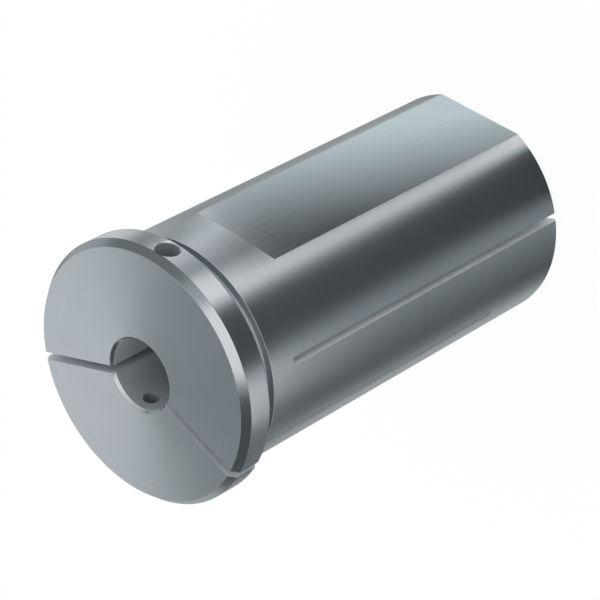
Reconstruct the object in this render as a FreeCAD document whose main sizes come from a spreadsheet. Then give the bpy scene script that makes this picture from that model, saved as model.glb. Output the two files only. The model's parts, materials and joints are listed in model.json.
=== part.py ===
"""Boring bar sleeve: one turned steel part that adapts a slim boring bar to a larger holder bore.

Frame, in millimetres: the bore's axis is Z, the rear face lies on Z = 0 and the collar's front
face is at the top. The clamping flat faces -Y.
"""
import FreeCAD, Part
import os
import Sketcher

# Driving sizes: name, value, meaning
SIZES = [
    ("shank_diameter", 40.0, "ground shank that goes into the tool holder"),
    ("shank_length", 75.5, "rear face to the collar's seat"),
    ("rear_chamfer", 0.5, "lead-in around the rear face and along the flat's rear edge"),
    ("collar_diameter", 44.6, "collar that stops the sleeve in the holder"),
    ("collar_thickness", 6.0, "seat to front face"),
    ("collar_front_length", 1.3, "front chamfer along the axis"),
    ("collar_front_depth", 1.0, "front chamfer across the axis"),
    ("collar_back_chamfer", 0.6, "broken edge around the collar's seat"),
    ("relief_width", 3.0, "grinding relief between shank and seat"),
    ("relief_depth", 1.2, "relief below the shank's surface"),
    ("bore_diameter", 12.0, "bore for the boring bar"),
    ("bore_chamfer", 0.5, "chamfer at both mouths of the bore"),
    ("flat_depth", 1.83, "clamping flat below the shank's surface"),
    ("flat_length", 62.3, "rear face to the foot of the flat's ramp"),
    ("flat_ramp_angle", 45.0, "ramp at the front end of the flat, degrees"),
    ("slot_width", 1.3, "saw slots that let the wall close on the bar"),
    ("slot_angle", 20.0, "slots above and below the plane through the axis, degrees"),
    ("front_slot_web", 14.2, "solid wall left behind the front slots"),
    ("rear_slot_web", 14.0, "solid wall left in front of the rear slots"),
    ("cross_hole_diameter", 4.0, "radial hole in the collar, above the flat"),
    ("cross_hole_setback", 3.4, "front face to the radial hole's axis"),
    ("cross_hole_chamfer", 0.3, "countersink of the radial hole"),
    ("cross_pilot_diameter", 2.7, "slimmer end of the radial hole, past the bore"),
    ("cutter_overrun", 2.0, "how far each cut runs past the surface"),
]

SHANK_RADIUS = "sizes.shank_diameter / 2"
COLLAR_RADIUS = "sizes.collar_diameter / 2"
BORE_RADIUS = "sizes.bore_diameter / 2"
TOTAL_LENGTH = "(sizes.shank_length + sizes.collar_thickness)"


def make_sheet(document):
    """Write the driving sizes, one row each: value, name and meaning."""
    sheet = document.addObject("Spreadsheet::Sheet", "sizes")
    for row, (name, value, meaning) in enumerate(SIZES, start=1):
        sheet.set(f"A{row}", str(value))
        sheet.setAlias(f"A{row}", name)
        sheet.set(f"B{row}", name)
        sheet.set(f"C{row}", meaning)
    document.recompute()
    return sheet


def origin_plane(body, role):
    """Return one of the body's own origin planes."""
    return next(item for item in body.Origin.OriginFeatures if item.Role == role)


def new_sketch(body, name, role):
    """Attach a new sketch to an origin plane of the body."""
    sketch = body.newObject("Sketcher::SketchObject", name)
    sketch.AttachmentSupport = [(origin_plane(body, role), "")]
    sketch.MapMode = "FlatFace"
    return sketch


def pin_corner(sketch, corner, direction, expression, value):
    """Tie one coordinate of a corner to the sizes sheet."""
    origin_point, start_point = (-1, 1), (corner, 1)
    if expression == "0":
        axis = -2 if direction == "DistanceX" else -1
        sketch.addConstraint(Sketcher.Constraint("PointOnObject", *start_point, axis))
        return
    ends = (origin_point, start_point) if value > 0 else (start_point, origin_point)
    index = sketch.addConstraint(Sketcher.Constraint(direction, *ends[0], *ends[1], abs(value)))
    signed = expression if value > 0 else f"-({expression})"
    sketch.setExpression(f"Constraints[{index}]", signed)


def draw_outline(sketch, sheet, corners):
    """Draw a closed outline of straight lines through corners given as expressions."""
    values = [tuple(float(sheet.evalExpression(item)) for item in corner) for corner in corners]
    points = [FreeCAD.Vector(across, along, 0) for across, along in values]
    lines = [Part.LineSegment(start, end) for start, end in zip(points, points[1:] + points[:1])]
    sketch.addGeometry(lines)
    for line in range(len(lines)):
        following = (line + 1) % len(lines)
        sketch.addConstraint(Sketcher.Constraint("Coincident", line, 2, following, 1))
    for line, (expressions, value) in enumerate(zip(corners, values)):
        pin_corner(sketch, line, "DistanceX", expressions[0], value[0])
        pin_corner(sketch, line, "DistanceY", expressions[1], value[1])


def turn(body, kind, name, sketch, axis):
    """Revolve a sketch once around one of its own axes."""
    feature = body.newObject(kind, name)
    feature.Profile = sketch
    feature.ReferenceAxis = (sketch, [axis])
    feature.Angle = 360
    return feature


def turned_blank(body, sheet):
    """Collar, relief groove and shank as one turned outline, drawn on the flat's side of the axis."""
    sketch = new_sketch(body, "blank_outline", "YZ_Plane")
    shank_side = f"-{SHANK_RADIUS}"
    relief_side = f"{shank_side} + sizes.relief_depth"
    collar_side = f"-{COLLAR_RADIUS}"
    draw_outline(sketch, sheet, [
        ("0", "0"),
        (f"{shank_side} + sizes.rear_chamfer", "0"),
        (shank_side, "sizes.rear_chamfer"),
        (shank_side, "sizes.shank_length - sizes.relief_width"),
        (relief_side, "sizes.shank_length - sizes.relief_width"),
        (relief_side, "sizes.shank_length"),
        (f"{collar_side} + sizes.collar_back_chamfer", "sizes.shank_length"),
        (collar_side, "sizes.shank_length + sizes.collar_back_chamfer"),
        (collar_side, f"{TOTAL_LENGTH} - sizes.collar_front_length"),
        (f"{collar_side} + sizes.collar_front_depth", TOTAL_LENGTH),
        ("0", TOTAL_LENGTH),
    ])
    return turn(body, "PartDesign::Revolution", "blank", sketch, "V_Axis")


def bar_bore(body, sheet):
    """Through bore with a chamfer at each mouth."""
    sketch = new_sketch(body, "bore_outline", "XZ_Plane")
    mouth_radius = f"{BORE_RADIUS} + sizes.bore_chamfer"
    draw_outline(sketch, sheet, [
        ("0", "0"),
        (mouth_radius, "0"),
        (BORE_RADIUS, "sizes.bore_chamfer"),
        (BORE_RADIUS, f"{TOTAL_LENGTH} - sizes.bore_chamfer"),
        (mouth_radius, TOTAL_LENGTH),
        ("0", TOTAL_LENGTH),
    ])
    return turn(body, "PartDesign::Groove", "bore", sketch, "V_Axis")


def clamping_flat(body, sheet):
    """Flat along the shank, chamfered at the rear face, that ends in a ramp at the front."""
    sketch = new_sketch(body, "flat_outline", "YZ_Plane")
    flat_height = f"{SHANK_RADIUS} - sizes.flat_depth"
    chamfer_foot = f"{flat_height} - sizes.rear_chamfer - sizes.cutter_overrun"
    outside = f"{SHANK_RADIUS} + sizes.cutter_overrun"
    ramp_rise = "(sizes.flat_depth + sizes.cutter_overrun)"
    ramp_top = f"sizes.flat_length + {ramp_rise} / tan(sizes.flat_ramp_angle * 1 deg)"
    draw_outline(sketch, sheet, [
        (f"-({chamfer_foot})", "-sizes.cutter_overrun"),
        (f"-({flat_height})", "sizes.rear_chamfer"),
        (f"-({flat_height})", "sizes.flat_length"),
        (f"-({outside})", ramp_top),
        (f"-({outside})", "-sizes.cutter_overrun"),
    ])
    flat = body.newObject("PartDesign::Pocket", "clamping_flat")
    flat.Profile = sketch
    flat.SideType = "Symmetric"
    flat.setExpression("Length", "sizes.collar_diameter + sizes.cutter_overrun")
    return flat


def saw_slot(body, sheet, name, height, angle, length, upwards):
    """One slot from the bore out through the wall, open at one end of the sleeve."""
    sketch = new_sketch(body, f"{name}_outline", "XY_Plane")
    turned = FreeCAD.Rotation(FreeCAD.Vector(0, 0, 1), 1)
    sketch.AttachmentOffset = FreeCAD.Placement(FreeCAD.Vector(0, 0, 0), turned)
    sketch.setExpression("AttachmentOffset.Base.z", height)
    sketch.setExpression("AttachmentOffset.Rotation.Angle", angle)
    reach = f"{COLLAR_RADIUS} + sizes.cutter_overrun"
    draw_outline(sketch, sheet, [
        ("0", "-sizes.slot_width / 2"),
        (reach, "-sizes.slot_width / 2"),
        (reach, "sizes.slot_width / 2"),
        ("0", "sizes.slot_width / 2"),
    ])
    slot = body.newObject("PartDesign::Pocket", name)
    slot.Profile = sketch
    slot.Reversed = upwards
    slot.setExpression("Length", length)
    return slot


def front_slot(body, sheet):
    """Slot through collar and shank, sawn from the front face on the side away from the flat."""
    length = f"{TOTAL_LENGTH} - sizes.front_slot_web"
    return saw_slot(body, sheet, "front_slot", TOTAL_LENGTH, "sizes.slot_angle * 1 deg", length, False)


def rear_slot(body, sheet):
    """Slot through the shank, sawn from the rear face on the flat's side."""
    length = f"{TOTAL_LENGTH} - sizes.rear_slot_web"
    return saw_slot(body, sheet, "rear_slot", "0", "-sizes.slot_angle * 1 deg", length, True)


def mirrored_slots(body, originals):
    """The same slots on the other side of the flat's middle plane."""
    mirror = body.newObject("PartDesign::Mirrored", "mirrored_slots")
    mirror.Originals = originals
    mirror.MirrorPlane = (origin_plane(body, "YZ_Plane"), [""])
    return mirror


def cross_hole(body, sheet):
    """Radial hole through the collar: wide down to the bore, slim from the bore on."""
    sketch = new_sketch(body, "cross_hole_outline", "YZ_Plane")
    sketch.setExpression("AttachmentOffset.Base.y", f"{TOTAL_LENGTH} - sizes.cross_hole_setback")
    hole_radius = "sizes.cross_hole_diameter / 2"
    pilot_radius = "sizes.cross_pilot_diameter / 2"
    outside = f"{COLLAR_RADIUS} + sizes.cutter_overrun"
    countersink = "sizes.cross_hole_chamfer"
    draw_outline(sketch, sheet, [
        (f"-({outside})", "0"),
        (f"-({outside})", f"{hole_radius} + {countersink} + sizes.cutter_overrun"),
        (f"-({COLLAR_RADIUS} - {countersink})", hole_radius),
        ("0", hole_radius),
        ("0", pilot_radius),
        (outside, pilot_radius),
        (outside, "0"),
    ])
    return turn(body, "PartDesign::Groove", "cross_hole", sketch, "H_Axis")


def cut_and_compare(document, body, make_feature, *details):
    """Make one cut, make it the body's result, and fail if it took no metal away."""
    volume_before = body.Shape.Volume
    feature = make_feature(body, *details)
    body.Tip = feature
    document.recompute()
    if not body.Shape.Volume < volume_before:
        raise RuntimeError(f"{feature.Name} cuts nothing")
    return feature


def make_sleeve(document, sheet):
    """The whole sleeve, from the turned blank to the radial hole."""
    body = document.addObject("PartDesign::Body", "sleeve")
    body.Label = "sleeve"
    turned_blank(body, sheet)
    document.recompute()
    cut_and_compare(document, body, bar_bore, sheet)
    cut_and_compare(document, body, clamping_flat, sheet)
    slots = [cut_and_compare(document, body, front_slot, sheet)]
    slots.append(cut_and_compare(document, body, rear_slot, sheet))
    cut_and_compare(document, body, mirrored_slots, slots)
    cut_and_compare(document, body, cross_hole, sheet)
    return body


def check_document(document, bodies):
    """Stop if an object failed or a body isn't one sound solid."""
    for item in document.Objects:
        if "Invalid" in item.State or "Error" in item.State:
            raise RuntimeError(f"{item.Name} failed: {item.State}")
    for body in bodies:
        if body.Shape.isNull() or not body.Shape.isValid() or len(body.Shape.Solids) != 1:
            raise RuntimeError(f"{body.Label} is not one valid solid")


def main():
    """Build the document, check it and write one STEP file for each body."""
    document = FreeCAD.newDocument("boring_bar_sleeve")
    sheet = make_sheet(document)
    bodies = [make_sleeve(document, sheet)]
    document.recompute()
    check_document(document, bodies)
    os.makedirs("parts", exist_ok=True)
    for body in bodies:
        body.Shape.exportStep(f"parts/{body.Label}.step")
        box = body.Shape.BoundBox
        print(f"{body.Label}: volume {body.Shape.Volume:.1f} mm3, box {box}")


main()
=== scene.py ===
"""Boring bar sleeve: the finished steel part, the studio around it and the camera.

Lengths are metres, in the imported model's own frame: the bore's axis is Z, the rear face stands on
the floor, the collar's front face is at the top and the clamping flat faces -Y.
"""

import json
import math

import bmesh
import bpy
from bpy.props import FloatProperty, FloatVectorProperty, IntProperty, PointerProperty
from mathutils import Matrix, Vector


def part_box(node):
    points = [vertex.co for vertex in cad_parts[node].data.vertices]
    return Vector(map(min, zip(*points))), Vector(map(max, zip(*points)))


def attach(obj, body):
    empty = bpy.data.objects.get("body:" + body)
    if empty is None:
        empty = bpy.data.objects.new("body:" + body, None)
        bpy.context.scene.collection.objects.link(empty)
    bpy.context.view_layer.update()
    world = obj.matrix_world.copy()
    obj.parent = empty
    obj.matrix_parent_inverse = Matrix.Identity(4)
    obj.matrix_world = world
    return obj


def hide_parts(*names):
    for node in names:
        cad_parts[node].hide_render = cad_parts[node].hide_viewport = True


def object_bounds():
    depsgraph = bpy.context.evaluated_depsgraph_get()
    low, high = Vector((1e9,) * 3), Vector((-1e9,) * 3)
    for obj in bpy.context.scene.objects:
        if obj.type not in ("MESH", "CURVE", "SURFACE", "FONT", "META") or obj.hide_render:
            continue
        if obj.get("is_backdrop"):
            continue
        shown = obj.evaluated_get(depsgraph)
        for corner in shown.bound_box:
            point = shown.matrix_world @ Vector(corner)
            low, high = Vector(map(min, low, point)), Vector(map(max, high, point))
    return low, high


bl_info = {
    "name": "Boring bar sleeve",
    "version": (1, 0, 0),
    "blender": (4, 5, 0),
    "location": "View3D > Sidebar > Sleeve",
    "description": "Turns, slots and finishes a boring bar sleeve and sets up its studio",
    "category": "Object",
}

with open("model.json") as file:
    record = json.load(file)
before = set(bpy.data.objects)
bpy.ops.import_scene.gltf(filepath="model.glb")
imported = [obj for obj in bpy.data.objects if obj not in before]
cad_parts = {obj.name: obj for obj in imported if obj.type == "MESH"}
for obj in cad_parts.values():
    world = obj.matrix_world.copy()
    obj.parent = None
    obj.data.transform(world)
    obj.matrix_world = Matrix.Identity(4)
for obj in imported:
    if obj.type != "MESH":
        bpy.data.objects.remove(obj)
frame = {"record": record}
CAD_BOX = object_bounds()
LOWEST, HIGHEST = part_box("sleeve")
MOUNTS = {mount["name"]: mount for mount in frame["record"]["mounts"]}
MM = 0.001
MICROMETRE = MM / 1000
# Width of the camera's sensor in millimetres, and the nearest and farthest that it sees
CAMERA_SENSOR = 36.0
CAMERA_REACH = (0.01, 20.0)

# Edges of the turned outline turn by more than this angle, and level faces tilt by less
OUTLINE_TURN = math.radians(20)
# Faces that meet within this angle are shaded as one surface
SMOOTH_ANGLE = math.radians(32)
WELD_DISTANCE = 0.001 * MM
SLIVER_WIDTH = 0.0005 * MM
ROUND_SEGMENTS = 3
TURNED_FINISHES = ("ground_steel", "turned_steel", "faced_steel", "reamed_steel", "grooved_steel")

# Most of a noise texture's values lie in this range
NOISE_RANGE = (0.3, 0.7)
# Patches of the steel's slow change in tone for each metre, and the spread of tone they bring
CLOUD_SCALE = 60.0
CLOUD_SPREAD = 0.025
# Length of a tool mark over its width, and the spread of tone from one mark to the next
MARK_STRETCH = 40.0
MARK_SPREAD = 0.035
# Turn of the marks' shine against the tangent around the axis, where 1 is a whole turn
SHINE_TURN = 0.25

# Levels of the floor's painted reflection by the angle of the side that mirrors it: near, where the
# shank shows it
NEAR_LEVELS = (
    (136, 1.00), (142, 0.53), (152, 0.78), (158, 0.72), (166, 0.40), (174, 0.23), (190, 0.48),
    (200, 0.75), (206, 0.66), (214, 0.16), (230, 0.17), (235, 0.28), (240, 2.05), (247, 2.30),
    (254, 0.90), (258, 0.85), (270, 1.75), (274, 1.65), (284, 0.80), (298, 0.53), (312, 0.44),
)
# and further out, where the collar shows it
FAR_LEVELS = (
    (136, 0.15), (142, 0.30), (150, 0.66), (155, 0.30), (162, 0.27), (182, 0.68), (190, 2.15),
    (200, 2.75), (206, 1.75), (211, 0.20), (235, 0.20), (240, 3.00), (250, 2.90), (254, 0.82),
    (262, 2.20), (270, 2.00), (278, 0.38), (284, 0.55), (289, 1.50), (295, 1.50), (312, 0.66),
)
# Rows of the ring of painted reflection: distance from the side to the row, and the levels that it
# has
RING_ROWS = (
    (0.000, NEAR_LEVELS),
    (0.089, NEAR_LEVELS),
    (0.091, FAR_LEVELS),
    (0.125, FAR_LEVELS),
    (0.130, NEAR_LEVELS),
    (0.300, NEAR_LEVELS),
)
# One column of the ring of painted reflection for each degree of the side
RING_START, RING_END = NEAR_LEVELS[0][0], NEAR_LEVELS[-1][0]
RING_COLUMNS = RING_END - RING_START + 1
# Card that the clamping flat shows: angles of the sides that mirror the ends of its far edge,
# distance from the side to that edge, and number of corners along it
FLAT_SIDES = (246, 293)
FLAT_REACH = 0.074
FLAT_CORNERS = 14
# Two spots of that card as X and Y, and the levels that it fades between from one to the other
FLAT_FADE = ((-0.0164, -0.0227), (-0.0082, -0.0113))
FLAT_LEVELS = (0.16, 1.85)
# Cards around the sleeve: name, corners as heading from +X and height in degrees, level
STANDING_CARDS = (
    ("light_box_front", ((188, 16), (251, 16), (251, 62), (188, 62)), 2.45),
    ("dark_card_side", ((96, -3), (178, -3), (178, 40), (96, 40)), 0.20),
    ("dark_card_right", ((274, 2), (345, 2), (345, 20), (274, 36)), 0.37),
    ("light_box_right", ((252, 42), (335, 22), (335, 50), (252, 62)), 2.30),
    ("light_box_back", ((20, 8), (76, 8), (76, 18), (20, 47)), 1.70),
    ("dark_card_back", ((20, 47), (76, 18), (76, 62), (20, 74)), 0.63),
)
# Bright light boxes are a little warm: their tint, and by how much a level passes 1 for all of it
WARM_LIGHT = (1.18, 1.00, 0.98)
WARM_SPAN = 1.5


def mount_radius(name):
    """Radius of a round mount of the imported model."""
    return MOUNTS[name]["dims"]["r_mm"] * MM


def length(label, meaning, default):
    """A length that a user can change."""
    return FloatProperty(name=label, description=meaning, default=default, min=0.0,
                         precision=5, subtype="DISTANCE", unit="LENGTH")


def angle(label, meaning, degrees):
    """An angle that a user can change."""
    return FloatProperty(name=label, description=meaning, default=math.radians(degrees),
                         subtype="ANGLE", unit="ROTATION")


def share(label, meaning, default):
    """A share from 0 to 1 that a user can change."""
    return FloatProperty(name=label, description=meaning, default=default, min=0.0, max=1.0,
                         subtype="FACTOR")


def colour(label, meaning, default):
    """A linear colour that a user can change."""
    return FloatVectorProperty(name=label, description=meaning, default=default, size=3,
                               min=0.0, max=1.0, subtype="COLOR")


class SleeveSizes(bpy.types.PropertyGroup):
    """Sizes of the sleeve, as in the CAD model."""

    total_length: length("Total length", "Rear face to front face", HIGHEST.z - LOWEST.z)
    collar_radius: length("Collar radius", "Outside of the collar", HIGHEST.x)
    shank_radius: length("Shank radius", "Ground outside of the shank", mount_radius("shank"))
    bore_radius: length("Bore radius", "Bore for the bar", mount_radius("bar_bore"))
    seat_height: length("Seat height", "Rear face to the collar's seat",
                        MOUNTS["collar_seat"]["pos_m"][2])
    flat_distance: length("Flat distance", "Bore axis to the clamping flat",
                          -MOUNTS["clamping_flat"]["pos_m"][1])
    hole_radius: length("Hole radius", "Radial hole above the flat", mount_radius("cross_hole"))
    pilot_radius: length("Pilot radius", "Slim end of the radial hole",
                         mount_radius("cross_hole_pilot"))
    hole_height: length("Hole height", "Rear face to the radial hole's axis",
                        MOUNTS["cross_hole"]["pos_m"][2])
    rear_chamfer: length("Rear chamfer", "Lead-in around the rear face and the flat's edge",
                         0.5 * MM)
    collar_front_length: length("Front chamfer length", "Along the axis", 1.3 * MM)
    collar_front_depth: length("Front chamfer depth", "Across the axis", 1.0 * MM)
    collar_back_chamfer: length("Back chamfer", "Broken edge around the seat", 0.6 * MM)
    relief_width: length("Relief width", "Groove between shank and seat", 3.0 * MM)
    relief_depth: length("Relief depth", "Groove below the shank", 1.2 * MM)
    bore_chamfer: length("Bore chamfer", "At both mouths of the bore", 0.5 * MM)
    flat_length: length("Flat length", "Rear face to the foot of the ramp", 62.3 * MM)
    flat_ramp_angle: angle("Ramp angle", "Ramp at the front end of the flat", 45.0)
    slot_width: length("Slot width", "Width of the saw slots", 1.3 * MM)
    slot_angle: angle("Slot angle", "Slots against the plane along the bore parallel to the flat",
                      20.0)
    front_slot_web: length("Front slot web", "Rear face to the end of the front slots", 14.2 * MM)
    rear_slot_web: length("Rear slot web", "Front face to the end of the rear slots", 14.0 * MM)
    hole_chamfer: length("Hole chamfer", "Countersink of the radial hole", 0.3 * MM)
    edge_round: length("Edge round", "Deburred edges of the turned outline", 0.05 * MM)
    facets: IntProperty(name="Facets", description="Facets around the sleeve", default=448,
                        min=64, max=1024)
    hole_facets: IntProperty(name="Hole facets", description="Facets around the radial hole",
                             default=112, min=16, max=256)


class SteelFinish(bpy.types.PropertyGroup):
    """Colour and polish of the steel."""

    steel_colour: colour("Steel", "Ground and turned steel", (0.231, 0.275, 0.295))
    # Walls of the bore, the hole, the groove and the front slots are lighter than the outer steel:
    # partly bright cut steel, partly painted light that lifts the shade in these hollows
    bore_colour: colour("Bore steel", "Reamed wall of the bore", (0.58, 0.63, 0.66))
    hole_colour: colour("Hole steel", "Drilled wall of the cross hole", (0.45, 0.50, 0.53))
    bore_metal: share("Bore shine", "Share of mirror in the walls of the holes", 0.6)
    cut_colour: colour("Cut steel", "Walls of the front slots and the groove", (0.55, 0.60, 0.63))
    cut_metal: share("Cut steel shine", "Share of mirror in the rough cut walls", 0.5)
    # The rear slots' walls are a lighter copy of the sawn steel, with painted light in its colour
    painted_lit_slot_colour: colour("Fresh cut steel", "Walls of the rear slots", (0.74, 0.78, 0.80))
    painted_lit_slot_metal: share("Fresh cut shine", "Share of mirror in the rear slots", 0.35)
    shank_roughness: share("Shank roughness", "Ground shank", 0.29)
    collar_roughness: share("Collar roughness", "Finely turned collar", 0.26)
    face_roughness: share("Face roughness", "Faced front", 0.22)
    face_crown: share("Face crown", "Slope of the face's finish away from its middle", 0.05)
    flat_roughness: share("Flat roughness", "Milled flat", 0.17)
    bore_roughness: share("Bore roughness", "Reamed bore", 0.32)
    hole_roughness: share("Hole roughness", "Drilled cross hole", 0.30)
    slot_roughness: share("Slot roughness", "Sawn walls", 0.55)


class StudioSettings(bpy.types.PropertyGroup):
    """Floor, surroundings, cards and camera."""

    floor_size: length("Floor size", "Side of the square floor", 6.0)
    floor_colour: colour("Floor", "Plain pale floor", (0.80, 0.80, 0.80))
    floor_white: share("Floor white", "Share of plain white in the floor's look", 0.90)
    fill_level: FloatProperty(name="Fill level", description="Brightness of the surroundings",
                              default=1.0, min=0.0)
    card_lift: length("Card lift", "Floor to the cards that lie on it", 0.1 * MM)
    card_distance: length("Card distance", "Sleeve to the cards that stand around it", 0.6)
    camera_place: FloatVectorProperty(name="Camera", description="Place of the camera", size=3,
                                      default=(-0.23288, -0.25380, 0.34971), unit="LENGTH")
    camera_aim: FloatVectorProperty(name="Aim", description="Point that the camera looks at",
                                    size=3, default=(0.00203, 0.00426, 0.04075), unit="LENGTH")
    camera_roll: angle("Roll", "Turn of the camera about its own axis", -118.09)
    camera_lens: FloatProperty(name="Lens", description="Focal length in millimetres",
                               default=168.33, min=10.0)


def deselect_all():
    """Leave nothing selected, in object mode."""
    if bpy.context.mode != "OBJECT":
        bpy.ops.object.mode_set(mode="OBJECT")
    bpy.ops.object.select_all(action="DESELECT")


def pick(piece):
    """Select one object alone and make it active."""
    deselect_all()
    piece.select_set(True)
    bpy.context.view_layer.objects.active = piece


def name_piece(name):
    """Name the object that was just added, and put its place into its mesh."""
    bpy.ops.object.transform_apply(location=True, rotation=True, scale=True)
    piece = bpy.context.active_object
    piece.name = name
    piece.data.name = name
    return piece


def add_box(name, low, high, turn=0.0):
    """A box between two corners, then turned about the bore's axis."""
    low, high = Vector(low), Vector(high)
    middle = Matrix.Rotation(turn, 3, "Z") @ ((low + high) / 2)
    deselect_all()
    bpy.ops.mesh.primitive_cube_add(size=1, location=middle, rotation=(0, 0, turn),
                                    scale=high - low)
    return name_piece(name)


def planed_box(name, low, high, point, normal):
    """A box planed off on the side that the normal points to."""
    box = add_box(name, low, high)
    bpy.ops.object.mode_set(mode="EDIT")
    bpy.ops.mesh.select_all(action="SELECT")
    bpy.ops.mesh.bisect(plane_co=point, plane_no=normal, use_fill=True, clear_outer=True)
    bpy.ops.object.mode_set(mode="OBJECT")
    return box


def extrude_rings(corners, extrude):
    """Draw the selected ring out through corners given as radius and height."""
    for (radius, height), (next_radius, next_height) in zip(corners, corners[1:]):
        extrude(TRANSFORM_OT_translate={"value": (0, 0, next_height - height)})
        growth = next_radius / radius
        bpy.ops.transform.resize(value=(growth, growth, 1), center_override=(0, 0, next_height))


def turn_hollow(name, corners, facets):
    """A turned body around the axis, from a closed outline that never reaches the axis."""
    radius, height = corners[0]
    deselect_all()
    bpy.ops.mesh.primitive_circle_add(vertices=facets, radius=radius, location=(0, 0, height))
    piece = name_piece(name)
    bpy.ops.object.mode_set(mode="EDIT")
    bpy.ops.mesh.select_all(action="SELECT")
    extrude_rings(corners + corners[:1], bpy.ops.mesh.extrude_edges_move)
    bpy.ops.mesh.select_all(action="SELECT")
    bpy.ops.mesh.remove_doubles(threshold=WELD_DISTANCE)
    bpy.ops.mesh.normals_make_consistent(inside=False)
    bpy.ops.object.mode_set(mode="OBJECT")
    return piece


def turn_solid(name, corners, facets):
    """A turned cutter with a flat disc at each end, from an open outline beside the axis."""
    radius, height = corners[0]
    deselect_all()
    bpy.ops.mesh.primitive_circle_add(vertices=facets, radius=radius, fill_type="NGON",
                                      location=(0, 0, height))
    piece = name_piece(name)
    bpy.ops.object.mode_set(mode="EDIT")
    bpy.ops.mesh.select_all(action="SELECT")
    extrude_rings(corners, bpy.ops.mesh.extrude_region_move)
    bpy.ops.mesh.select_all(action="SELECT")
    bpy.ops.mesh.normals_make_consistent(inside=False)
    bpy.ops.object.mode_set(mode="OBJECT")
    return piece


def round_turned_edges(piece, radius):
    """Break every edge of a turned outline with a small round."""
    pick(piece)
    bpy.ops.object.mode_set(mode="EDIT")
    bpy.ops.mesh.select_all(action="DESELECT")
    bpy.ops.mesh.select_mode(type="EDGE")
    bpy.ops.mesh.edges_select_sharp(sharpness=OUTLINE_TURN)
    bpy.ops.mesh.bevel(offset=radius, segments=ROUND_SEGMENTS, affect="EDGES", clamp_overlap=True)
    bpy.ops.object.mode_set(mode="OBJECT")


def enclosed_volume(piece):
    """Volume inside a closed piece."""
    shell = bmesh.new()
    shell.from_mesh(piece.data)
    volume = shell.calc_volume()
    shell.free()
    return volume


def cut(piece, cutter, finish):
    """Cut one shape out of the piece and give the new faces their finish."""
    cutter.data.materials.append(finish)
    pick(piece)
    modifier = piece.modifiers.new("cut", "BOOLEAN")
    modifier.operation = "DIFFERENCE"
    modifier.solver = "EXACT"
    modifier.material_mode = "TRANSFER"
    modifier.object = cutter
    volume_before = enclosed_volume(piece)
    bpy.ops.object.modifier_apply(modifier=modifier.name)
    if enclosed_volume(piece) >= volume_before:
        raise RuntimeError(f"{cutter.name} cuts nothing")
    bpy.data.objects.remove(cutter, do_unlink=True)


def node(tree, kind, **values):
    """A new shader node with some of its inputs or settings given."""
    made = tree.nodes.new(kind)
    for name, value in values.items():
        if hasattr(made, name):
            setattr(made, name, value)
        else:
            made.inputs[name.replace("_", " ")].default_value = value
    return made


def new_material(name):
    """An empty node material and its output node."""
    material = bpy.data.materials.new(name)
    material.use_nodes = True
    material.node_tree.nodes.clear()
    output = material.node_tree.nodes.new("ShaderNodeOutputMaterial")
    return material, material.node_tree, output


def math_node(tree, operation, first, second):
    """One arithmetic node whose inputs are sockets or numbers."""
    made = node(tree, "ShaderNodeMath", operation=operation)
    for socket, value in zip(made.inputs, (first, second)):
        if isinstance(value, bpy.types.NodeSocket):
            tree.links.new(value, socket)
        else:
            socket.default_value = value
    return made.outputs[0]


def lay_vector(tree, lay, lines_per_metre):
    """Coordinates that run fast across the tool marks and slowly along them."""
    place = node(tree, "ShaderNodeTexCoord").outputs["Object"]
    split = node(tree, "ShaderNodeSeparateXYZ")
    tree.links.new(place, split.inputs[0])
    fast_axis = "X" if lay == "along" else "Z"
    across = radius_from_axis(tree, split) if lay == "faced" else split.outputs[fast_axis]
    slow = lines_per_metre / MARK_STRETCH
    joined = node(tree, "ShaderNodeCombineXYZ")
    for axis in "XYZ":
        if axis == fast_axis:
            part = math_node(tree, "MULTIPLY", across, lines_per_metre)
        else:
            part = math_node(tree, "MULTIPLY", split.outputs[axis], slow)
        tree.links.new(part, joined.inputs[axis])
    return place, joined.outputs[0]


def radius_from_axis(tree, split):
    """Distance from the bore's axis."""
    sides = split.outputs["X"], split.outputs["Y"]
    squares = [math_node(tree, "MULTIPLY", side, side) for side in sides]
    return math_node(tree, "SQRT", math_node(tree, "ADD", *squares), 0.0)


def vary(tree, noise, middle, spread):
    """Values that vary around a middle with a noise texture."""
    low, high = NOISE_RANGE
    ranged = node(tree, "ShaderNodeMapRange", From_Min=low, From_Max=high,
                  To_Min=middle - spread, To_Max=middle + spread)
    tree.links.new(noise.outputs["Fac"], ranged.inputs["Value"])
    return ranged.outputs["Result"]


def crowned(tree, marks, mark_depth, slope):
    """Height of the tool marks on a face that falls away from its middle by a small slope."""
    split = node(tree, "ShaderNodeSeparateXYZ")
    tree.links.new(node(tree, "ShaderNodeTexCoord").outputs["Object"], split.inputs[0])
    fall = math_node(tree, "MULTIPLY", radius_from_axis(tree, split), -slope / mark_depth)
    return math_node(tree, "ADD", marks, fall)


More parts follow.
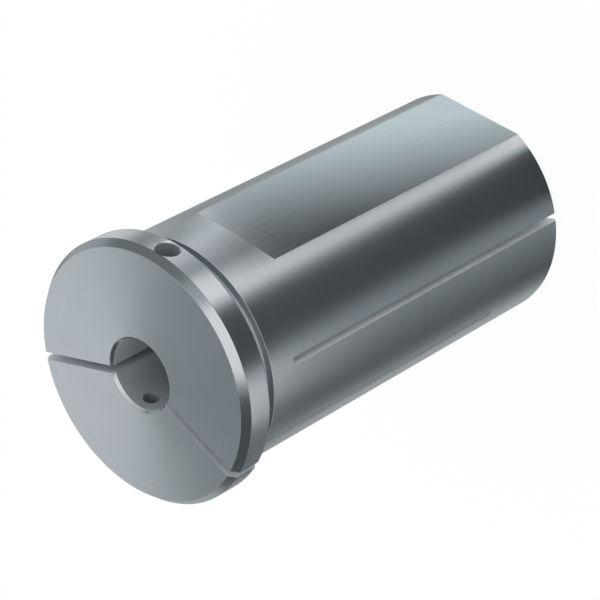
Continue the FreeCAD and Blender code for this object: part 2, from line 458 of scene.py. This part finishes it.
def tool_marked_steel(name, tint, roughness, lay, lines_per_mm=6.0, mark_depth=0.15,
                      uneven=0.015, anisotropy=0.0, crown=0.0, metal=1.0):
    """Steel with the fine marks that its machining leaves; mark depth is in micrometres."""
    material, tree, output = new_material(name)
    place, marks = lay_vector(tree, lay, lines_per_mm / MM)
    fine = node(tree, "ShaderNodeTexNoise", Scale=1.0, Detail=4.0, Roughness=0.6)
    tree.links.new(marks, fine.inputs["Vector"])
    cloud = node(tree, "ShaderNodeTexNoise", Scale=CLOUD_SCALE, Detail=3.0, Roughness=0.5)
    tree.links.new(place, cloud.inputs["Vector"])

    shine = math_node(tree, "ADD", vary(tree, fine, 0.0, uneven / 2),
                      vary(tree, cloud, roughness, uneven / 3))
    level = math_node(tree, "MULTIPLY", vary(tree, fine, 1.0, MARK_SPREAD),
                      vary(tree, cloud, 1.0, CLOUD_SPREAD))
    toned = node(tree, "ShaderNodeVectorMath", operation="SCALE")
    toned.inputs[0].default_value = tint
    tree.links.new(level, toned.inputs["Scale"])

    depth = mark_depth * MICROMETRE
    bump = node(tree, "ShaderNodeBump", Strength=1.0, Distance=depth)
    height = fine.outputs["Fac"]
    if crown:
        height = crowned(tree, height, depth, crown)
    tree.links.new(height, bump.inputs["Height"])

    steel = node(tree, "ShaderNodeBsdfPrincipled", Metallic=metal, Anisotropic=anisotropy,
                 Anisotropic_Rotation=SHINE_TURN)
    tree.links.new(toned.outputs[0], steel.inputs["Base Color"])
    tree.links.new(shine, steel.inputs["Roughness"])
    tree.links.new(bump.outputs[0], steel.inputs["Normal"])
    if anisotropy:
        tangent = node(tree, "ShaderNodeTangent", direction_type="RADIAL", axis="Z")
        tree.links.new(tangent.outputs[0], steel.inputs["Tangent"])
    tree.links.new(steel.outputs[0], output.inputs["Surface"])
    return material


def steel_finishes(finish):
    """A material for each way in which the surfaces are machined, by its name."""
    steel, cut_steel = finish.steel_colour[:], finish.cut_colour[:]
    finishes = (
        tool_marked_steel("ground_steel", steel, finish.shank_roughness, "around", anisotropy=0.3),
        tool_marked_steel("turned_steel", steel, finish.collar_roughness, "around", anisotropy=0.4),
        tool_marked_steel("faced_steel", steel, finish.face_roughness, "faced", mark_depth=0.25,
                          crown=finish.face_crown),
        tool_marked_steel("milled_steel", steel, finish.flat_roughness, "along", mark_depth=0.35,
                          uneven=0.03),
        # The hollows' walls: partly bright cut steel, partly painted light that lifts their shade
        tool_marked_steel("reamed_steel", finish.bore_colour[:], finish.bore_roughness, "around",
                          metal=finish.bore_metal),
        tool_marked_steel("drilled_steel", finish.hole_colour[:], finish.hole_roughness, "along",
                          metal=finish.bore_metal),
        tool_marked_steel("grooved_steel", cut_steel, finish.slot_roughness, "around",
                          metal=finish.cut_metal),
        tool_marked_steel("sawn_steel", cut_steel, finish.slot_roughness, "around",
                          lines_per_mm=3.0, mark_depth=2.0, metal=finish.cut_metal),
        # The rear slots take a lighter copy of the sawn steel, which is painted light
        tool_marked_steel("fresh_sawn_steel", finish.painted_lit_slot_colour[:], finish.slot_roughness,
                          "around", lines_per_mm=3.0, mark_depth=2.0, metal=finish.painted_lit_slot_metal),
    )
    return {material.name: material for material in finishes}


def sleeve_outline(sizes):
    """Closed outline of the turned blank with its bore, as radius and height."""
    shank, collar, bore = sizes.shank_radius, sizes.collar_radius, sizes.bore_radius
    seat, top = sizes.seat_height, sizes.total_length
    mouth = bore + sizes.bore_chamfer
    relief = shank - sizes.relief_depth
    return [
        (mouth, 0.0),
        (shank - sizes.rear_chamfer, 0.0),
        (shank, sizes.rear_chamfer),
        (shank, seat - sizes.relief_width),
        (relief, seat - sizes.relief_width),
        (relief, seat),
        (collar - sizes.collar_back_chamfer, seat),
        (collar, seat + sizes.collar_back_chamfer),
        (collar, top - sizes.collar_front_length),
        (collar - sizes.collar_front_depth, top),
        (mouth, top),
        (bore, top - sizes.bore_chamfer),
        (bore, sizes.bore_chamfer),
    ]


def flat_cutters(sizes):
    """Blocks that mill the clamping flat with its ramp, and chamfer its rear edge."""
    outside = sizes.collar_radius
    chamfer = sizes.rear_chamfer
    rise = outside - sizes.flat_distance
    top = sizes.flat_length + rise / math.tan(sizes.flat_ramp_angle)
    ramp_normal = (0, math.cos(sizes.flat_ramp_angle), math.sin(sizes.flat_ramp_angle))
    yield planed_box("flat_cutter", (-outside, -outside, -rise),
                     (outside, -sizes.flat_distance, top),
                     (0, -sizes.flat_distance, sizes.flat_length), ramp_normal)
    yield planed_box("flat_edge_cutter", (-outside, -outside, -2 * chamfer),
                     (outside, 2 * chamfer - sizes.flat_distance, 2 * chamfer),
                     (0, -sizes.flat_distance, chamfer), (0, 1, 1))


def slot_cutters(sizes, name, turn, low, high):
    """Two saw blades, one on each side of the plane through the flat's middle."""
    half = sizes.slot_width / 2
    reach = sizes.collar_radius + sizes.slot_width
    for side, direction in (("right", turn), ("left", math.pi - turn)):
        yield add_box(f"{name}_slot_{side}", (0, -half, low), (reach, half, high), direction)


def cross_hole_cutter(sizes):
    """Drill for the radial hole: countersunk and wide above the flat, slim past the bore."""
    hole, pilot, chamfer = sizes.hole_radius, sizes.pilot_radius, sizes.hole_chamfer
    surface = sizes.collar_radius
    overrun = hole
    cutter = turn_solid("cross_hole_drill", [
        (pilot, -surface - overrun),
        (pilot, 0.0),
        (hole, 0.0),
        (hole, surface - chamfer),
        (hole + chamfer + overrun, surface + overrun),
    ], sizes.hole_facets)
    pick(cutter)
    cutter.rotation_euler = (math.pi / 2, 0, 0)
    cutter.location = (0, 0, sizes.hole_height)
    bpy.ops.object.transform_apply(location=True, rotation=True, scale=True)
    return cutter


def blank_finish(sizes, middle, normal):
    """Name of the finish for a face of the turned blank, from its middle and normal."""
    radius = math.hypot(middle.x, middle.y)
    groove_start = sizes.seat_height - sizes.relief_width - sizes.edge_round
    level = abs(normal.z) > math.cos(OUTLINE_TURN)
    if radius < sizes.bore_radius + sizes.edge_round:
        return "reamed_steel"
    if radius < sizes.bore_radius + sizes.bore_chamfer:
        return "turned_steel"
    if radius < sizes.shank_radius and groove_start < middle.z < sizes.seat_height:
        return "turned_steel" if level else "grooved_steel"
    if level:
        return "faced_steel"
    return "turned_steel" if middle.z > sizes.seat_height else "ground_steel"


def paint_blank(blank, finishes, sizes):
    """Give each face of the turned blank its finish."""
    for name in TURNED_FINISHES:
        blank.data.materials.append(finishes[name])
    for face in blank.data.polygons:
        name = blank_finish(sizes, face.center, face.normal)
        face.material_index = TURNED_FINISHES.index(name)


def turned_normal(face, corner, middle, axis):
    """Normal at a corner of a face turned around an axis, from the face's own slope."""
    def outwards(point):
        offset = point - middle
        return (offset - offset.dot(axis) * axis).normalized()
    across = face.normal.dot(outwards(face.center))
    return across * outwards(corner) + face.normal.dot(axis) * axis


def smooth_piece(piece, turning_axes):
    """Smooth the turned and drilled faces to their true round form, and keep the others flat."""
    pick(piece)
    bpy.ops.object.mode_set(mode="EDIT")
    bpy.ops.mesh.select_all(action="SELECT")
    bpy.ops.mesh.remove_doubles(threshold=SLIVER_WIDTH)
    bpy.ops.mesh.dissolve_degenerate(threshold=SLIVER_WIDTH)
    bpy.ops.mesh.normals_make_consistent(inside=False)
    bpy.ops.object.mode_set(mode="OBJECT")
    bpy.ops.object.shade_smooth_by_angle(angle=SMOOTH_ANGLE, keep_sharp_edges=False)
    mesh = piece.data
    normals = [None] * len(mesh.loops)
    for face in mesh.polygons:
        turning = turning_axes.get(mesh.materials[face.material_index].name)
        for index in face.loop_indices:
            corner = mesh.vertices[mesh.loops[index].vertex_index].co
            normals[index] = turned_normal(face, corner, *turning) if turning else face.normal.copy()
    mesh.normals_split_custom_set(normals)


class SLEEVE_OT_make_sleeve(bpy.types.Operator):
    """Turn the sleeve, mill its flat, saw its slots, drill it and finish it"""

    bl_idname = "sleeve.make_sleeve"
    bl_label = "Make sleeve"

    def execute(self, context):
        sizes = context.scene.sleeve_sizes
        finishes = steel_finishes(context.scene.sleeve_finish)
        sleeve = turn_hollow("boring_bar_sleeve", sleeve_outline(sizes), sizes.facets)
        round_turned_edges(sleeve, sizes.edge_round)
        paint_blank(sleeve, finishes, sizes)
        for cutter in flat_cutters(sizes):
            cut(sleeve, cutter, finishes["milled_steel"])
        overrun, top = sizes.slot_width, sizes.total_length
        for cutter in slot_cutters(sizes, "front", sizes.slot_angle, sizes.front_slot_web,
                                   top + overrun):
            cut(sleeve, cutter, finishes["sawn_steel"])
        # The rear slots' walls get the lighter copy of the sawn steel: painted light
        for cutter in slot_cutters(sizes, "rear", -sizes.slot_angle, -overrun,
                                   top - sizes.rear_slot_web):
            cut(sleeve, cutter, finishes["fresh_sawn_steel"])
        cut(sleeve, cross_hole_cutter(sizes), finishes["drilled_steel"])

        bore_axis = (Vector((0, 0, 0)), Vector((0, 0, 1)))
        hole_axis = (Vector((0, 0, sizes.hole_height)), Vector((0, 1, 0)))
        turning_axes = dict.fromkeys(TURNED_FINISHES, bore_axis)
        turning_axes["drilled_steel"] = hole_axis
        smooth_piece(sleeve, turning_axes)

        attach(sleeve, "root")
        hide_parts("sleeve")
        return {"FINISHED"}


def seen_white_share(tree, share_of_white):
    """A value that is the share for rays from the camera, mirrors and glass, and 0 for others."""
    path = node(tree, "ShaderNodeLightPath")
    seen = math_node(tree, "MAXIMUM", path.outputs["Is Camera Ray"], path.outputs["Is Glossy Ray"])
    seen = math_node(tree, "MAXIMUM", seen, path.outputs["Is Transmission Ray"])
    return math_node(tree, "MULTIPLY", seen, share_of_white)


def floor_material(studio):
    """Pale floor that looks white and keeps a soft shadow."""
    material, tree, output = new_material("pale_floor")
    matte = node(tree, "ShaderNodeBsdfDiffuse")
    matte.inputs["Color"].default_value = (*studio.floor_colour, 1)
    share_of_white = studio.floor_white
    open_floor = (1 - share_of_white) * studio.floor_colour[0]
    white = node(tree, "ShaderNodeEmission", Strength=(1 - open_floor) / share_of_white)
    mix = node(tree, "ShaderNodeMixShader")
    tree.links.new(seen_white_share(tree, share_of_white), mix.inputs[0])
    tree.links.new(matte.outputs[0], mix.inputs[1])
    tree.links.new(white.outputs[0], mix.inputs[2])
    tree.links.new(mix.outputs[0], output.inputs["Surface"])
    return material


def lay_floor(studio):
    """The floor under the sleeve's rear face."""
    deselect_all()
    bpy.ops.mesh.primitive_plane_add(size=studio.floor_size, location=(0, 0, 0))
    floor = name_piece("floor")
    floor.data.materials.append(floor_material(studio))
    floor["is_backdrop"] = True


def light_surroundings(studio):
    """Even surroundings that look white behind the sleeve."""
    world = bpy.data.worlds.new("surroundings")
    bpy.context.scene.world = world
    world.use_nodes = True
    tree = world.node_tree
    tree.nodes.clear()
    output = node(tree, "ShaderNodeOutputWorld")
    plain = node(tree, "ShaderNodeBackground", Strength=studio.fill_level)
    white = node(tree, "ShaderNodeBackground", Strength=1.0)
    for background in (plain, white):
        background.inputs["Color"].default_value = (1, 1, 1, 1)
    mix = node(tree, "ShaderNodeMixShader")
    tree.links.new(seen_white_share(tree, 1.0), mix.inputs[0])
    tree.links.new(plain.outputs[0], mix.inputs[1])
    tree.links.new(white.outputs[0], mix.inputs[2])
    tree.links.new(mix.outputs[0], output.inputs["Surface"])


def light_tint(level):
    """Tint of a light by its level: white, and a little warm where it is bright."""
    warmth = min(max((level - 1) / WARM_SPAN, 0), 1)
    return Vector((1, 1, 1)).lerp(Vector(WARM_LIGHT), warmth)


def card_material(name, level):
    """Even matte card or light box; a level of 1 is plain white."""
    material, tree, output = new_material(name)
    glow = node(tree, "ShaderNodeEmission", Strength=level)
    glow.inputs["Color"].default_value = (*light_tint(level), 1)
    tree.links.new(glow.outputs[0], output.inputs["Surface"])
    return material


def show_in_polish_only(card):
    """Let only the polish of the sleeve show a card of the studio."""
    card.visible_camera = False
    card.visible_diffuse = False
    card.visible_transmission = False
    card.visible_shadow = False
    card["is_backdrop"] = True


def hang_card(name, corners, level):
    """A card between its corners that only the polish of the sleeve shows."""
    deselect_all()
    bpy.ops.mesh.primitive_circle_add(vertices=len(corners), radius=1, fill_type="NGON")
    card = name_piece(name)
    for vertex, corner in zip(card.data.vertices, corners):
        vertex.co = corner
    card.data.materials.append(card_material(name, level))
    show_in_polish_only(card)
    return card


def fade_card(card, start, end, first_level, last_level):
    """Let a card's level run evenly from one point to another."""
    tree = card.active_material.node_tree
    way = (end - start) / (end - start).length_squared
    along = node(tree, "ShaderNodeVectorMath", operation="DOT_PRODUCT")
    along.inputs[1].default_value = way
    tree.links.new(node(tree, "ShaderNodeTexCoord").outputs["Object"], along.inputs[0])
    level = node(tree, "ShaderNodeMapRange", From_Min=start.dot(way), From_Max=end.dot(way),
                 To_Min=first_level, To_Max=last_level)
    tree.links.new(along.outputs["Value"], level.inputs["Value"])
    tree.links.new(level.outputs["Result"], tree.nodes["Emission"].inputs["Strength"])


def heading(degrees, height=0.0):
    """Level direction at an angle from +X, raised by a height in degrees."""
    across = math.cos(math.radians(height))
    turn = math.radians(degrees)
    return Vector((across * math.cos(turn), across * math.sin(turn), math.sin(math.radians(height))))


def mirrored_spot(studio, wall_radius, side, reach):
    """Spot on the floor that the sleeve's side mirrors at an angle, at a distance from the side."""
    place = Vector(studio.camera_place)
    camera_heading = math.degrees(math.atan2(place.y, place.x))
    return wall_radius * heading(side) + reach * heading(2 * side - camera_heading)


def evenly(first, last, count):
    """Evenly spaced values from the first to the last."""
    return [first + (last - first) * step / (count - 1) for step in range(count)]


def level_at(levels, side):
    """Level at an angle of the side, between the two entries next to it."""
    for (first, low), (second, high) in zip(levels, levels[1:]):
        if side <= second:
            return low + (high - low) * (side - first) / (second - first)
    return levels[-1][1]


def glowing_paint():
    """Light whose colour and level are painted on the mesh."""
    material, tree, output = new_material("floor_levels")
    paint = node(tree, "ShaderNodeAttribute", attribute_name="level")
    glow = node(tree, "ShaderNodeEmission", Strength=1.0)
    tree.links.new(paint.outputs["Color"], glow.inputs["Color"])
    tree.links.new(glow.outputs[0], output.inputs["Surface"])
    return material


def lay_painted_reflection_ring(studio, wall_radius):
    """Painted reflection: light and dark stretches of a glowing sheet on the floor, each where the
    sleeve's side mirrors it.
    """
    sides = evenly(RING_START, RING_END, RING_COLUMNS)
    deselect_all()
    bpy.ops.mesh.primitive_grid_add(x_subdivisions=RING_COLUMNS - 1,
                                    y_subdivisions=len(RING_ROWS) - 1)
    ring = name_piece("floor_ring")
    if len(ring.data.vertices) != RING_COLUMNS * len(RING_ROWS):
        raise RuntimeError("the floor ring's grid has another number of corners")
    paint = ring.data.attributes.new("level", "FLOAT_COLOR", "POINT")
    spots = [(side, reach, levels) for reach, levels in RING_ROWS for side in sides]
    for vertex, value, (side, reach, levels) in zip(ring.data.vertices, paint.data, spots):
        spot = mirrored_spot(studio, wall_radius, side, reach)
        vertex.co = spot + Vector((0, 0, studio.card_lift))
        level = level_at(levels, side)
        value.color = (*(level * light_tint(level)), 1)
    ring.data.materials.append(glowing_paint())
    show_in_polish_only(ring)


def lay_flat_card(studio, sizes):
    """The card whose mirror image brightens along the clamping flat."""
    lift = Vector((0, 0, 2 * studio.card_lift))
    half = math.sqrt(sizes.shank_radius ** 2 - sizes.flat_distance ** 2)
    near = [Vector((edge, -sizes.flat_distance, 0)) + lift for edge in (-half, half)]
    far = [mirrored_spot(studio, sizes.shank_radius, side, FLAT_REACH) + lift
           for side in evenly(*reversed(FLAT_SIDES), FLAT_CORNERS)]
    card = hang_card("card_before_flat", near + far, sum(FLAT_LEVELS) / 2)
    start, end = (Vector((*point, 0)) for point in FLAT_FADE)
    fade_card(card, start, end, *FLAT_LEVELS)


def stand_card(studio, name, corners, level):
    """A card or light box that stands around the sleeve, above the floor."""
    middle = Vector((0, 0, HIGHEST.z))
    places = [middle + studio.card_distance * heading(turn, height) for turn, height in corners]
    hang_card(name, places, level)


def place_camera(studio):
    """The camera at the photo's viewing angle."""
    data = bpy.data.cameras.new("photo_camera")
    data.sensor_width = CAMERA_SENSOR
    data.lens = studio.camera_lens
    data.clip_start, data.clip_end = CAMERA_REACH
    camera = bpy.data.objects.new("photo_camera", data)
    bpy.context.scene.collection.objects.link(camera)
    place, aim = Vector(studio.camera_place), Vector(studio.camera_aim)
    upright = (aim - place).to_track_quat("-Z", "Y").to_matrix().to_4x4()
    roll = Matrix.Rotation(studio.camera_roll, 4, "Z")
    camera.matrix_world = Matrix.Translation(place) @ upright @ roll
    bpy.context.scene.camera = camera


class SLEEVE_OT_set_studio(bpy.types.Operator):
    """Lay the floor, light the surroundings, set up the cards and place the camera"""

    bl_idname = "sleeve.set_studio"
    bl_label = "Set studio"

    def execute(self, context):
        studio = context.scene.sleeve_studio
        context.scene.view_settings.view_transform = "Standard"
        lay_floor(studio)
        light_surroundings(studio)
        sizes = context.scene.sleeve_sizes
        # Painted reflection of the floor, seen only in the sleeve's polish
        lay_painted_reflection_ring(studio, sizes.shank_radius)
        lay_flat_card(studio, sizes)
        for card in STANDING_CARDS:
            stand_card(studio, *card)
        place_camera(studio)
        return {"FINISHED"}


class SLEEVE_PT_panel(bpy.types.Panel):
    """Sizes, finish and studio of the sleeve"""

    bl_label = "Boring bar sleeve"
    bl_idname = "SLEEVE_PT_panel"
    bl_space_type = "VIEW_3D"
    bl_region_type = "UI"
    bl_category = "Sleeve"

    def draw(self, context):
        for group in GROUPS:
            settings = getattr(context.scene, group)
            column = self.layout.column(align=True)
            for name in settings.__annotations__:
                column.prop(settings, name)
        for operator in OPERATORS:
            self.layout.operator(operator.bl_idname)


GROUPS = {
    "sleeve_sizes": SleeveSizes,
    "sleeve_finish": SteelFinish,
    "sleeve_studio": StudioSettings,
}
OPERATORS = (SLEEVE_OT_make_sleeve, SLEEVE_OT_set_studio)


def register():
    """Register the classes and hang the settings on the scene."""
    for item in (*GROUPS.values(), *OPERATORS, SLEEVE_PT_panel):
        bpy.utils.register_class(item)
    for name, group in GROUPS.items():
        setattr(bpy.types.Scene, name, PointerProperty(type=group))


def unregister():
    """Take the settings and classes away again."""
    for name in GROUPS:
        delattr(bpy.types.Scene, name)
    for item in (SLEEVE_PT_panel, *reversed(OPERATORS), *reversed(GROUPS.values())):
        bpy.utils.unregister_class(item)


def write_sizes():
    """Gather the CAD model's box and the finished model's box as lists, and keep neither."""
    boxes = {"cad": CAD_BOX, "visual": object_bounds()}
    {name: [list(corner) for corner in box] for name, box in boxes.items()}


def main():
    """Make the sleeve and its studio."""
    register()
    bpy.ops.sleeve.make_sleeve()
    bpy.ops.sleeve.set_studio()
    write_sizes()


if __name__ == "__main__":
    main()
